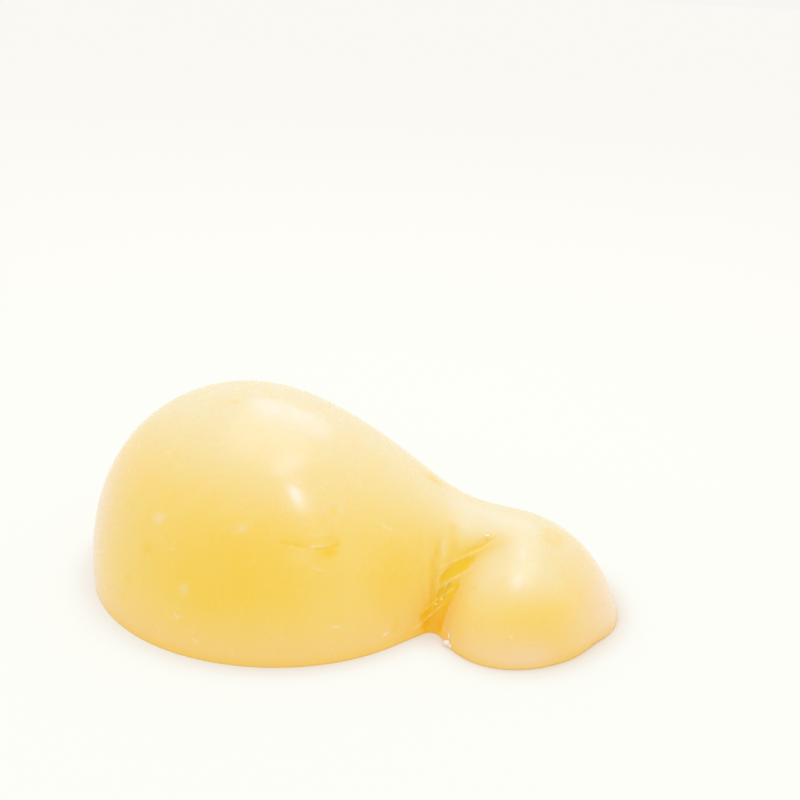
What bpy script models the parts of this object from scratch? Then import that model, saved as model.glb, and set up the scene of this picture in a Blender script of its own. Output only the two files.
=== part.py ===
"""Half of a caciocavallo cheese, cut along its length and lying on the cut face.

The shape is worked out in millimetres and made in metres. +X runs from the round ball to the tied head,
+Z is up, and the flat cut face lies in the plane z = 0. The ball, its shoulder and the head are ellipsoids
blended into one skin. The tie left a slanted crease between shoulder and head, deep on the -Y side, with
pleats beside it.
"""

from dataclasses import dataclass
from math import cos, pi, radians, sin
from random import Random

import bmesh
import bpy
import numpy as np
from mathutils import Matrix, Vector

MM = 0.001
NAME = "caciocavallo_half"


@dataclass(frozen=True)
class Lobe:
    """An ellipsoid that can turn about Z, lean with height and taper along its own length."""

    centre: tuple
    radii: tuple
    turn: float = 0.0
    lean: tuple = (0.0, 0.0)
    taper: tuple = (0.0, 0.0)

    def clearance(self, points):
        """About how far each point lies outside the lobe, negative inside."""
        away = points - np.array(self.centre)
        x = away[:, 0] - self.lean[0] * points[:, 2]
        y = away[:, 1] - self.lean[1] * points[:, 2]
        along = (x * cos(self.turn) + y * sin(self.turn)) / self.radii[0]
        across = (y * cos(self.turn) - x * sin(self.turn)) / self.radii[1]
        up = away[:, 2] / self.radii[2]
        end = np.clip(along, -TAPER_REACH, TAPER_REACH)
        scaled = np.stack([along, across / (1 - self.taper[0] * end), up / (1 - self.taper[1] * end)], axis=1)
        size = np.linalg.norm(scaled, axis=1)
        steepness = np.linalg.norm(scaled / np.array(self.radii), axis=1)
        return size * (size - 1) / np.maximum(steepness, TINY)


# Driving dimensions in millimetres, with the origin at the ball's middle on the cut face
TAPER_REACH = 1.1
TINY = 1e-9
BALL = Lobe(centre=(3.5, -0.3, -5.0), radii=(76.4, 74.2, 80.0), lean=(-0.25, 0.136))
SHOULDER = Lobe(centre=(49.1, 22.5, -4.2), radii=(96.1, 26.9, 41.1), turn=radians(-16.1))
HEAD = Lobe(centre=(112.6, 2.5, -5.0), radii=(34.0, 49.3, 36.1), turn=radians(-22.4), taper=(-0.044, -0.092))
SHOULDER_BLEND = 31.7

# The head's blunt end is a soft plane across it
BLUNT_END_AT = 175.0
BLUNT_END_NORMAL = (1.0, 0.589, 0.749)
BLUNT_END_BLEND = 48.2

# The crease is tight on the near side, -Y, opens into a saddle on the far side and tightens towards the tip
CREASE_BLEND_NEAR = 6.5
CREASE_BLEND_FAR = 41.4
CREASE_NEAR_Y = -35.3
CREASE_FAR_Y = 40.3
TIP_TIGHTENING = 0.232
TIP_FROM_X = 106.0
TIP_TO_X = 150.0
TIE_DEPTH = 1.8
TIE_WIDTH = 6.0
TIE_CROWN_Y = 4.0
TIE_FADE = 14.0
TIE_FURTHEST_X = 108.0
TIE_RISE = 8.0

# Pleats gathered by the tie fan up from where the waist meets the cut face, on either side of the ball
PLEAT_FANS = (((77.0, -30.0, 0.0), 0.9), ((80.0, 45.0, 0.0), 0.6))
PLEAT_FIRST = radians(-5)
PLEAT_PITCH = radians(11.5)
PLEAT_SPREAD = radians(13)
PLEAT_NEAREST = 8.0
PLEAT_FURTHEST = 44.0

# A shallow curved dent where a cord pressed the ball
DENT_LEFT = (22.6, -48.6, 40.7)
DENT_RIGHT = (42.5, -38.0, 37.2)
DENT_SAG = 2.6
DENT_DEPTH = 0.6
DENT_WIDTH = 1.7

# A gentle unevenness of the rind
WAVE_HEIGHT = 0.1
WAVE_LENGTHS = (83.0, 71.0, 67.0)

# Eyes in the cut face: the largest by place, radius and stretch, the rest spread by a seeded draw
LARGE_EYES = (
    ((-29.0, 24.0), 3.4, 1.5),
    ((13.0, -19.0), 2.3, 1.0),
    ((44.0, -33.0), 2.2, 2.6),
    ((-8.0, 47.0), 2.0, 1.0),
)
SMALL_EYES = 12
SMALL_EYE_RADII = (1.1, 1.9)
EYE_FIELD_MIDDLE = (6.0, 2.0)
EYE_FIELD_RADIUS = 58.0
EYE_CLEAR_OF_MIDDLE = 12.0
EYE_GAP = 3.0
EYE_SINK = 0.35
EYE_TURN = radians(47)
EYE_SEED = 11

# How finely the skin is made
CELL = 5.0
LOBE_SEGMENTS = 48
RELAX_ROUNDS = 6
RELAX_SHARE = 0.5
SETTLE_STEPS = 8
PROBE = 0.02
RIM_SNAP = 0.4
FINE_ZONES = (((82.0, -14.0, 20.0), 26.0), ((32.5, -45.0, 38.5), 15.0))
EYE_RINGS = 2

# The middle of the footprint, measured from the ball's middle
FOOTPRINT_MIDDLE = (36.46, 0.93)

RIND_COLOUR = (0.94, 0.66, 0.16, 1.0)
RIND_ROUGHNESS = 0.38
SHARP_EDGE = radians(50)


def smooth_min(first, second, blend):
    """The smaller of two clearances, rounded over where they are within the blend of each other."""
    share = np.maximum(blend - np.abs(first - second), 0) / blend
    return np.minimum(first, second) - share * share * blend / 4


def ease(value):
    """A soft step from 0 to 1."""
    value = np.clip(value, 0, 1)
    return value * value * (3 - 2 * value)


def tie_relief(points, border):
    """The tie's groove along the border, which is the ball's clearance less the head's."""
    near = ease((TIE_CROWN_Y - points[:, 1]) / TIE_FADE) * ease((TIE_FURTHEST_X - points[:, 0]) / TIE_FADE)
    risen = ease(points[:, 2] / TIE_RISE)
    return TIE_DEPTH * near * risen * np.exp(-((border / TIE_WIDTH) ** 2))


def pleat_relief(points, border):
    """Folds that fan up over the ball's side of the waist."""
    relief = np.zeros(len(points))
    for foot, depth in PLEAT_FANS:
        away = points - np.array(foot)
        height = np.hypot(away[:, 1], away[:, 2])
        angle = np.arctan2(away[:, 0], height)
        fold = 0.5 + 0.5 * np.cos(2 * pi * (angle - PLEAT_FIRST) / PLEAT_PITCH)
        spread = np.exp(-(((angle - PLEAT_FIRST / 2) / PLEAT_SPREAD) ** 2))
        reach = ease(height / PLEAT_NEAREST - 1) * ease(2 - 2 * height / PLEAT_FURTHEST)
        relief += depth * fold * spread * reach
    return relief * ease(border / -TIE_WIDTH)


def dent_relief(points):
    """A smile-shaped dent between two points on the ball."""
    left = np.array(DENT_LEFT)
    run = np.array(DENT_RIGHT) - left
    along = np.clip((points - left) @ run / (run @ run), 0, 1)
    middle = left + along[:, None] * run
    middle[:, 2] -= DENT_SAG * np.sin(pi * along)
    distance = np.linalg.norm(points - middle, axis=1)
    return DENT_DEPTH * np.sin(pi * along) * np.exp(-((distance / DENT_WIDTH) ** 2))


def wave_relief(points):
    """Slow swells over the whole rind."""
    return WAVE_HEIGHT * np.sin(2 * pi * points / np.array(WAVE_LENGTHS)).sum(axis=1)


def skin_clearance(points):
    """About how far each point lies outside the cheese's skin, negative inside."""
    ball = smooth_min(BALL.clearance(points), SHOULDER.clearance(points), SHOULDER_BLEND)
    normal = np.array(BLUNT_END_NORMAL) / np.linalg.norm(BLUNT_END_NORMAL)
    past_end = points @ normal - BLUNT_END_AT * normal[0]
    head = -smooth_min(-HEAD.clearance(points), -past_end, BLUNT_END_BLEND)
    opening = ease((points[:, 1] - CREASE_NEAR_Y) / (CREASE_FAR_Y - CREASE_NEAR_Y))
    tip = ease((points[:, 0] - TIP_FROM_X) / (TIP_TO_X - TIP_FROM_X))
    blend = CREASE_BLEND_NEAR + (CREASE_BLEND_FAR - CREASE_BLEND_NEAR) * opening
    blend = blend * (1 - TIP_TIGHTENING * tip)
    border = ball - head
    folds = tie_relief(points, border) + pleat_relief(points, border)
    return smooth_min(ball, head, blend) + folds + dent_relief(points) + wave_relief(points)


def settled(points, flat):
    """The points moved onto the skin, those marked flat within the plane of the cut face."""
    for _ in range(SETTLE_STEPS):
        value = skin_clearance(points)
        slope = np.zeros_like(points)
        for axis in range(3):
            step = np.zeros(3)
            step[axis] = PROBE
            slope[:, axis] = (skin_clearance(points + step) - skin_clearance(points - step)) / (2 * PROBE)
        slope[flat, 2] = 0
        points = points - slope * (value / np.maximum((slope**2).sum(axis=1), TINY))[:, None]
    return points


def settle(mesh):
    """Moves every vertex of a bmesh onto the skin, and keeps the rim in the plane of the cut face."""
    points = np.array([vertex.co for vertex in mesh.verts])
    flat = np.abs(points[:, 2]) < TINY
    points = settled(points, flat)
    points[flat, 2] = 0
    for vertex, point in zip(mesh.verts, points):
        vertex.co = point


def linked_object(name, mesh_data, collection):
    """A new object on this mesh in this collection."""
    made = bpy.data.objects.new(name, mesh_data)
    collection.objects.link(made)
    return made


def rough_skin(collection):
    """The three lobes joined by voxels into one even, closed bmesh."""
    lobes = bmesh.new()
    for lobe in (BALL, SHOULDER, HEAD):
        place = Matrix.Translation(lobe.centre) @ Matrix.Rotation(lobe.turn, 4, "Z")
        bmesh.ops.create_uvsphere(
            lobes, u_segments=LOBE_SEGMENTS, v_segments=LOBE_SEGMENTS // 2, radius=1,
            matrix=place @ Matrix.Diagonal((*lobe.radii, 1)),
        )
    data = bpy.data.meshes.new("rough_skin")
    lobes.to_mesh(data)
    lobes.free()
    rough = linked_object("rough_skin", data, collection)
    voxels = rough.modifiers.new("voxels", "REMESH")
    voxels.mode = "VOXEL"
    voxels.voxel_size = CELL
    bpy.context.view_layer.update()
    mesh = bmesh.new()
    mesh.from_object(rough, bpy.context.evaluated_depsgraph_get())
    bpy.data.objects.remove(rough)
    return mesh


def cut_flat(mesh):
    """Cuts the body at the plane z = 0, keeps the upper half and leaves the cut face open."""
    points = np.array([vertex.co for vertex in mesh.verts])
    close = np.abs(points[:, 2]) < RIM_SNAP * CELL
    for index in np.flatnonzero(close):
        mesh.verts[index].co.z = 0
    everything = mesh.verts[:] + mesh.edges[:] + mesh.faces[:]
    bmesh.ops.bisect_plane(mesh, geom=everything, dist=PROBE, plane_no=(0, 0, -1), clear_outer=True)
    for vertex in mesh.verts:
        if abs(vertex.co.z) < PROBE:
            vertex.co.z = 0


def refine(mesh):
    """Halves the edges in the zones with fine relief."""
    for centre, reach in FINE_ZONES:
        edges = [
            edge for edge in mesh.edges
            if all((vertex.co - Vector(centre)).length < reach for vertex in edge.verts)
        ]
        bmesh.ops.subdivide_edges(mesh, edges=edges, cuts=1, use_grid_fill=True)


def skin_bmesh(collection):
    """The closed half body, in millimetres about the ball's middle."""
    mesh = rough_skin(collection)
    settle(mesh)
    for _ in range(RELAX_ROUNDS):
        bmesh.ops.smooth_vert(
            mesh, verts=mesh.verts, factor=RELAX_SHARE, use_axis_x=True, use_axis_y=True, use_axis_z=True,
        )
        settle(mesh)
    mesh.verts.ensure_lookup_table()
    cut_flat(mesh)
    refine(mesh)
    settle(mesh)
    bmesh.ops.holes_fill(mesh, edges=[edge for edge in mesh.edges if edge.is_boundary], sides=0)
    bmesh.ops.recalc_face_normals(mesh, faces=mesh.faces)
    return mesh


def spread_eyes():
    """The places, radii and stretches of all the eyes in the cut face."""
    draw = Random(EYE_SEED)
    eyes = list(LARGE_EYES)
    while len(eyes) < len(LARGE_EYES) + SMALL_EYES:
        reach = EYE_FIELD_RADIUS * draw.random() ** 0.5
        angle = 2 * pi * draw.random()
        place = (EYE_FIELD_MIDDLE[0] + reach * cos(angle), EYE_FIELD_MIDDLE[1] + reach * sin(angle))
        radius = draw.uniform(*SMALL_EYE_RADII)
        away = (Vector(place) - Vector(FOOTPRINT_MIDDLE)).length
        gap = min((Vector(place) - Vector(other)).length - size * stretch for other, size, stretch in eyes)
        if away > EYE_CLEAR_OF_MIDDLE and gap > EYE_GAP + radius:
            eyes.append((place, radius, 1.0))
    return eyes


def to_metres(mesh, name):
    """Mesh data in metres, with the origin at the middle of the footprint."""
    bmesh.ops.translate(mesh, verts=mesh.verts, vec=(-FOOTPRINT_MIDDLE[0], -FOOTPRINT_MIDDLE[1], 0))
    bmesh.ops.scale(mesh, verts=mesh.verts, vec=(MM, MM, MM))
    data = bpy.data.meshes.new(name)
    mesh.to_mesh(data)
    mesh.free()
    return data


def eye_cutters(collection):
    """One hidden object with a small ellipsoid for each eye, sunk so that each pit is a shallow bowl."""
    mesh = bmesh.new()
    for index, (place, radius, stretch) in enumerate(spread_eyes()):
        sunk = Matrix.Translation((*place, -EYE_SINK * radius))
        turned = Matrix.Rotation(EYE_TURN * index, 4, "Z") @ Matrix.Diagonal((stretch, 1, 1, 1))
        bmesh.ops.create_icosphere(mesh, subdivisions=EYE_RINGS, radius=radius, matrix=sunk @ turned)
    cutters = linked_object("eye_cutters", to_metres(mesh, "eye_cutters"), collection)
    cutters.hide_render = True
    cutters.display_type = "WIRE"
    return cutters


def rind_material():
    """The warm, waxy yellow of the rind."""
    material = bpy.data.materials.new("rind")
    material.use_nodes = True
    shader = material.node_tree.nodes["Principled BSDF"]
    shader.inputs["Base Color"].default_value = RIND_COLOUR
    shader.inputs["Roughness"].default_value = RIND_ROUGHNESS
    shader.inputs["Metallic"].default_value = 0.0
    return material


def half_cheese(parts, cutters):
    """The cheese itself: skin, cut face and eyes."""
    data = to_metres(skin_bmesh(parts), NAME)
    data.materials.append(rind_material())
    data.shade_smooth()
    data.set_sharp_from_angle(angle=SHARP_EDGE)
    cheese = linked_object(NAME, data, parts)
    eyes = cheese.modifiers.new("eyes", "BOOLEAN")
    eyes.operation = "DIFFERENCE"
    eyes.solver = "EXACT"
    eyes.object = eye_cutters(cutters)


def new_collection(name):
    """A collection in the scene."""
    collection = bpy.data.collections.new(name)
    bpy.context.scene.collection.children.link(collection)
    return collection


def main():
    """Clears the scene and makes the cheese."""
    for leftover in list(bpy.data.objects):
        bpy.data.objects.remove(leftover)
    half_cheese(new_collection("caciocavallo"), new_collection("cutters"))


main()
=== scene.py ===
"""The looks of half a caciocavallo cheese, lying on its cut face.

The cheese is made again at a finer scale from the rule of the frame's solid, so it fills the same space.
Shapes are worked out in millimetres about the middle of the ball on the cut face: +X runs from the ball to
the tied head and +Z is up. The finished meshes are in metres, in the frame's own place.
"""

import logging
from collections.abc import Iterable, Sequence
from dataclasses import dataclass
from enum import Enum
from math import cos, pi, radians, sin
from random import Random

import bmesh
import bpy
import numpy as np
from mathutils import Matrix, Vector


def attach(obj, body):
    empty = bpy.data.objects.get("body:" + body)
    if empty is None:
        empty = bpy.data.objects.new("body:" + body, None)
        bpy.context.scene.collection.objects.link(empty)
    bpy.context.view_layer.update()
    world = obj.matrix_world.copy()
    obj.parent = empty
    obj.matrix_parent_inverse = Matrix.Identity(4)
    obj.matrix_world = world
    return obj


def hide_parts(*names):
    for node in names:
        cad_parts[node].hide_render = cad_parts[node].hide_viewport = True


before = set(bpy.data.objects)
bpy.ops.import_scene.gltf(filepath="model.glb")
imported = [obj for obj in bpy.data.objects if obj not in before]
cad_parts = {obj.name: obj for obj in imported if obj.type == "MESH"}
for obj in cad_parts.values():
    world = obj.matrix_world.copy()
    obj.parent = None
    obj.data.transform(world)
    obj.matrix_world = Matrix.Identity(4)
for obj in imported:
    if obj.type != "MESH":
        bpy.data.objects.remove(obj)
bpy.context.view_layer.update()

LOG = logging.getLogger("caciocavallo")

Point = tuple[float, float, float]
Colour = tuple[float, float, float]

MM = 0.001
TINY = 1e-9
NODE = "caciocavallo_half"
BODY = "root"

# The colour of the lamps that only make highlights, which stay soft beside a rind this pale
COOL = (0.15, 0.45, 1.0)

# The middle of the footprint, measured from the ball's middle
FOOTPRINT_MIDDLE = (36.46, 0.93)


class Surface(Enum):
    """The kinds of face on the cheese, by material index."""

    RIND = 0
    PASTE = 1
    EYE = 2


class Mark(Enum):
    """The vertex attributes that the finishes read."""

    CREASE = "crease"
    WEDGE = "wedge"
    FOOT = "foot"
    STRAND = "strand"
    FOLD = "fold"
    GOLD = "gold"
    AMBER = "amber"
    PALE = "pale"
    BLUSH = "blush"
    RINGS = "rings"
    MATT = "matt"
    DEPTH = "depth"


def smooth_min(first: np.ndarray, second: np.ndarray, blend: np.ndarray | float) -> np.ndarray:
    """Gives the smaller of two clearances, rounded over where they are within the blend of each other.

    Args:
        first: one clearance for each point.
        second: the other clearance for each point.
        blend: how far apart they may be and still be blended.

    Returns:
        The blended clearance for each point.
    """
    share = np.maximum(blend - np.abs(first - second), 0) / blend
    return np.minimum(first, second) - share * share * blend / 4


def ease(value: np.ndarray) -> np.ndarray:
    """Turns a ramp into a soft step from 0 to 1."""
    value = np.clip(value, 0, 1)
    return value * value * (3 - 2 * value)


def path_measure(points: np.ndarray, path: Sequence[Sequence[float]]) -> tuple[np.ndarray, np.ndarray]:
    """Measures where points lie beside and along a line of straight stretches, in two or three dimensions.

    Args:
        points: one point in each row.
        path: the line's corners in order.

    Returns:
        The distance of each point from the line, and how far along the line that is, from 0 to 1.
    """
    corners = np.array(path, float)
    lengths = np.linalg.norm(np.diff(corners, axis=0), axis=1)
    best = np.full(len(points), np.inf)
    share = np.zeros(len(points))
    passed = 0.0
    for start, end, length in zip(corners, corners[1:], lengths):
        along = np.clip((points - start) @ (end - start) / length**2, 0, 1)
        distance = np.linalg.norm(points - start - along[:, None] * (end - start), axis=1)
        nearer = distance < best
        best = np.where(nearer, distance, best)
        share = np.where(nearer, (passed + along * length) / lengths.sum(), share)
        passed += length
    return best, share


def rounded(path: Sequence[Sequence[float]], rounds: int = 3) -> np.ndarray:
    """Rounds the corners of a path and keeps its ends.

    Args:
        path: the line's corners in order.
        rounds: how many times each corner is cut.

    Returns:
        The finer path, with one corner in each row.
    """
    corners = np.array(path, float)
    for _ in range(rounds):
        near = corners[:-1] * 0.75 + corners[1:] * 0.25
        far = corners[:-1] * 0.25 + corners[1:] * 0.75
        inner = np.stack([near, far], axis=1).reshape(-1, corners.shape[1])
        corners = np.concatenate([corners[:1], inner, corners[-1:]])
    return corners


def stroke(
    points: np.ndarray, path: Sequence[Sequence[float]], width: float, taper: float = 0.22
) -> np.ndarray:
    """Gives a rounded ridge along a line that thins away at both ends.

    Args:
        points: one point in each row.
        path: the line's corners in order.
        width: how fast the ridge falls away beside the line.
        taper: the share of the line's length that each end takes to thin away.

    Returns:
        A value from 0 to 1 for each point.
    """
    corners = rounded(path)
    reach = 4 * width
    close = np.all((points > corners.min(axis=0) - reach) & (points < corners.max(axis=0) + reach), axis=1)
    distance, share = path_measure(points[close], corners)
    value = np.zeros(len(points))
    value[close] = ridge(distance, width) * ease(share / taper) * ease((1 - share) / taper)
    return value


def outline_depth(points: np.ndarray, corners: Sequence[tuple[float, float]]) -> np.ndarray:
    """Measures how deep inside a closed flat outline points lie.

    Args:
        points: one flat point in each row.
        corners: the outline's corners in order.

    Returns:
        The depth of each point, negative outside.
    """
    ring = np.array([*corners, corners[0]])
    inside = np.zeros(len(points), bool)
    for start, end in zip(ring, ring[1:]):
        spans = (start[1] > points[:, 1]) != (end[1] > points[:, 1])
        run = (end[0] - start[0]) / ((end[1] - start[1]) or TINY)
        inside ^= spans & (points[:, 0] < start[0] + (points[:, 1] - start[1]) * run)
    distance, _ = path_measure(points, ring)
    return np.where(inside, distance, -distance)


def ridge(distance: np.ndarray, width: float) -> np.ndarray:
    """Gives a rounded ridge, 1 on its line and falling away over the width."""
    return np.exp(-((distance / width) ** 2))


@dataclass(frozen=True)
class Lobe:
    """An ellipsoid that can turn about Z, lean with height and taper along its own length."""

    centre: Point
    radii: Point
    turn: float = 0.0
    lean: tuple[float, float] = (0.0, 0.0)
    taper: tuple[float, float] = (0.0, 0.0)
    taper_reach: float = 1.1

    def clearance(self, points: np.ndarray) -> np.ndarray:
        """Measures about how far points lie outside the lobe.

        Args:
            points: one point in each row.

        Returns:
            The clearance of each point, negative inside.
        """
        away = points - np.array(self.centre)
        x = away[:, 0] - self.lean[0] * points[:, 2]
        y = away[:, 1] - self.lean[1] * points[:, 2]
        along = (x * cos(self.turn) + y * sin(self.turn)) / self.radii[0]
        across = (y * cos(self.turn) - x * sin(self.turn)) / self.radii[1]
        up = away[:, 2] / self.radii[2]
        end = np.clip(along, -self.taper_reach, self.taper_reach)
        narrowed = across / (1 - self.taper[0] * end)
        lowered = up / (1 - self.taper[1] * end)
        scaled = np.stack([along, narrowed, lowered], axis=1)
        size = np.linalg.norm(scaled, axis=1)
        steepness = np.linalg.norm(scaled / np.array(self.radii), axis=1)
        return size * (size - 1) / np.maximum(steepness, TINY)

    def matrix(self) -> Matrix:
        """Gives the placing that turns a unit sphere into this lobe, without its lean and taper."""
        placed = Matrix.Translation(self.centre) @ Matrix.Rotation(self.turn, 4, "Z")
        return placed @ Matrix.Diagonal((*self.radii, 1))


@dataclass(frozen=True)
class Tie:
    """What the cord left round the waist: a groove on the near side, and pleats that fan up beside it."""

    depth: float = 1.8
    width: float = 6.0
    crown_y: float = 4.0
    fade: float = 14.0
    furthest_x: float = 108.0
    rise: float = 8.0
    pleat_fans: tuple = (((77.0, -30.0, 0.0), 0.9), ((80.0, 45.0, 0.0), 0.6))
    pleat_first: float = radians(-5)
    pleat_pitch: float = radians(11.5)
    pleat_spread: float = radians(13)
    pleat_nearest: float = 8.0
    pleat_furthest: float = 44.0

    def near(self, points: np.ndarray) -> np.ndarray:
        """Fades from 1 on the near side of the waist to 0 over its crown and along the head."""
        over = ease((self.crown_y - points[:, 1]) / self.fade)
        return over * ease((self.furthest_x - points[:, 0]) / self.fade)

    def groove(self, points: np.ndarray, border: np.ndarray) -> np.ndarray:
        """Gives the groove's depth in millimetres."""
        risen = ease(points[:, 2] / self.rise)
        return self.depth * self.near(points) * risen * ridge(border, self.width)

    def pleats(self, points: np.ndarray, border: np.ndarray) -> np.ndarray:
        """Gives how deep the folds between the pleats are.

        Args:
            points: one point in each row.
            border: the ball's clearance less the head's, for each point.

        Returns:
            The depth for each point in millimetres.
        """
        relief = np.zeros(len(points))
        for foot, depth in self.pleat_fans:
            away = points - np.array(foot)
            height = np.hypot(away[:, 1], away[:, 2])
            angle = np.arctan2(away[:, 0], height)
            fold = 0.5 + 0.5 * np.cos(2 * pi * (angle - self.pleat_first) / self.pleat_pitch)
            spread = ridge(angle - self.pleat_first / 2, self.pleat_spread)
            reach = ease(height / self.pleat_nearest - 1) * ease(2 - 2 * height / self.pleat_furthest)
            relief += depth * fold * spread * reach
        return relief * ease(border / -self.width)


@dataclass(frozen=True)
class Dent:
    """A shallow smile-shaped dent where a cord pressed the ball."""

    left: Point = (22.6, -48.6, 40.7)
    right: Point = (42.5, -38.0, 37.2)
    sag: float = 2.6
    depth: float = 0.6
    width: float = 1.7

    def along(self, points: np.ndarray) -> np.ndarray:
        """Gives how far along the dent each point is, from 0 to 1."""
        left = np.array(self.left)
        run = np.array(self.right) - left
        return np.clip((points - left) @ run / (run @ run), 0, 1)

    def distance(self, points: np.ndarray) -> np.ndarray:
        """Measures how far points lie from the dent's curved line."""
        left = np.array(self.left)
        along = self.along(points)
        middle = left + along[:, None] * (np.array(self.right) - left)
        middle[:, 2] -= self.sag * np.sin(pi * along)
        return np.linalg.norm(points - middle, axis=1)

    def relief(self, points: np.ndarray) -> np.ndarray:
        """Gives the dent's depth in millimetres."""
        return self.depth * np.sin(pi * self.along(points)) * ridge(self.distance(points), self.width)


@dataclass(frozen=True)
class Skin:
    """The rule that the skin follows: three blended lobes, a blunt end, the tie, the dent and swells."""

    ball: Lobe = Lobe(centre=(3.5, -0.3, -5.0), radii=(76.4, 74.2, 80.0), lean=(-0.25, 0.136))
    shoulder: Lobe = Lobe(centre=(49.1, 22.5, -4.2), radii=(96.1, 26.9, 41.1), turn=radians(-16.1))
    head: Lobe = Lobe(
        centre=(112.6, 2.5, -5.0), radii=(34.0, 49.3, 36.1), turn=radians(-22.4), taper=(-0.044, -0.092)
    )
    shoulder_blend: float = 31.7
    blunt_end_at: float = 175.0
    blunt_end_normal: Point = (1.0, 0.589, 0.749)
    blunt_end_blend: float = 48.2
    crease_blend_near: float = 6.5
    crease_blend_far: float = 41.4
    crease_near_y: float = -35.3
    crease_far_y: float = 40.3
    tip_tightening: float = 0.232
    tip_from_x: float = 106.0
    tip_to_x: float = 150.0
    wave_height: float = 0.1
    wave_lengths: Point = (83.0, 71.0, 67.0)
    tie: Tie = Tie()
    dent: Dent = Dent()
    probe: float = 0.02

    def lobes(self) -> tuple[Lobe, Lobe, Lobe]:
        """Gives the three lobes."""
        return self.ball, self.shoulder, self.head

    def both_sides(self, points: np.ndarray) -> tuple[np.ndarray, np.ndarray]:
        """Measures the clearance from the ball's side and from the head's side.

        Args:
            points: one point in each row.

        Returns:
            Two clearances for each point.
        """
        ball = smooth_min(self.ball.clearance(points), self.shoulder.clearance(points), self.shoulder_blend)
        normal = np.array(self.blunt_end_normal) / np.linalg.norm(self.blunt_end_normal)
        past_end = points @ normal - self.blunt_end_at * normal[0]
        head = -smooth_min(-self.head.clearance(points), -past_end, self.blunt_end_blend)
        return ball, head

    def border(self, points: np.ndarray) -> np.ndarray:
        """Gives the ball's clearance less the head's, which is 0 along the crease."""
        ball, head = self.both_sides(points)
        return ball - head

    def clearance(self, points: np.ndarray) -> np.ndarray:
        """Measures about how far points lie outside the skin.

        Args:
            points: one point in each row.

        Returns:
            The clearance of each point, negative inside.
        """
        ball, head = self.both_sides(points)
        opening = ease((points[:, 1] - self.crease_near_y) / (self.crease_far_y - self.crease_near_y))
        tip = ease((points[:, 0] - self.tip_from_x) / (self.tip_to_x - self.tip_from_x))
        blend = self.crease_blend_near + (self.crease_blend_far - self.crease_blend_near) * opening
        blend = blend * (1 - self.tip_tightening * tip)
        border = ball - head
        folds = self.tie.groove(points, border) + self.tie.pleats(points, border)
        waves = self.wave_height * np.sin(2 * pi * points / np.array(self.wave_lengths)).sum(axis=1)
        return smooth_min(ball, head, blend) + folds + self.dent.relief(points) + waves

    def slope(self, points: np.ndarray) -> np.ndarray:
        """Gives the direction in which the clearance grows, for each point."""
        slope = np.zeros_like(points)
        for axis in range(3):
            step = np.zeros(3)
            step[axis] = self.probe
            rise = self.clearance(points + step) - self.clearance(points - step)
            slope[:, axis] = rise / (2 * self.probe)
        return slope

    def settled(self, points: np.ndarray, flat: np.ndarray, steps: int) -> np.ndarray:
        """Moves points onto the skin.

        Args:
            points: one point in each row.
            flat: whether each point stays in the plane of the cut face.
            steps: how many times each point steps towards the skin.

        Returns:
            The moved points.
        """
        for _ in range(steps):
            slope = self.slope(points)
            slope[flat, 2] = 0
            share = self.clearance(points) / np.maximum((slope**2).sum(axis=1), TINY)
            points = points - slope * share[:, None]
        points[flat, 2] = 0
        return points


@dataclass(frozen=True)
class Strand:
    """A thin fibre of curd drawn across the crease.

    Its path is a list of (height, across): millimetres above the cut face, and the border value, which is
    negative on the ball's side.
    """

    path: tuple[tuple[float, float], ...]
    width: float = 0.42
    rise: float = 0.3


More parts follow.
